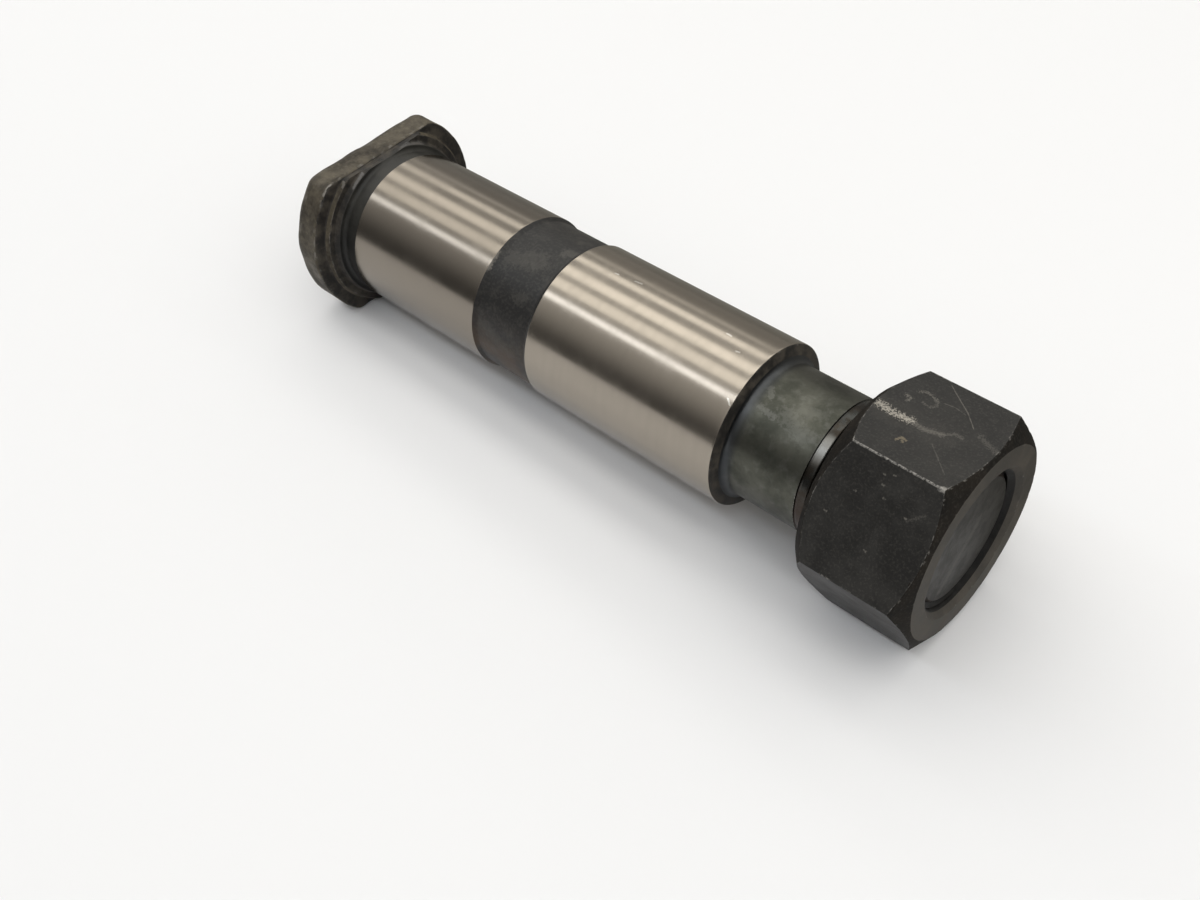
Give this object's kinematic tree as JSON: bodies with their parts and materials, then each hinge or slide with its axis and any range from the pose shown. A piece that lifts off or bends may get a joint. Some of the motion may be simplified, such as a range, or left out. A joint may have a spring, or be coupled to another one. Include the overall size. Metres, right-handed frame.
{
  "type": "spring pin with nut",
  "caption": "Headed spring pin with a double-D flange, two ground lands, a relieved band, a thinner neck and a hexagon nut on its threaded end.",
  "frame": {"origin": "on the pin's axis, at the middle of the overall length from the head's outer face to the nut's outer face", "axes": "+X along the pin's axis from the head to the nut, +Z square to the head's two flats, so that the pin lies on its side on the head's lower flat and the nut's lowest corner"},
  "size_m": [0.1394, 0.041, 0.0374],
  "materials": {
    "pin_steel": "forged and turned steel with ground lands",
    "nut_steel": "blackened steel, worn bright on the edges"
  },
  "bodies": {
    "pin": {"pin": "pin_steel"},
    "nut": {"nut": "nut_steel"}
  },
  "joints": [
    {"name": "nut_off", "type": "slide", "parent": "pin", "child": "nut", "axis": [1, 0, 0], "range_m": [-0.0015, 0.033]}
  ]
}
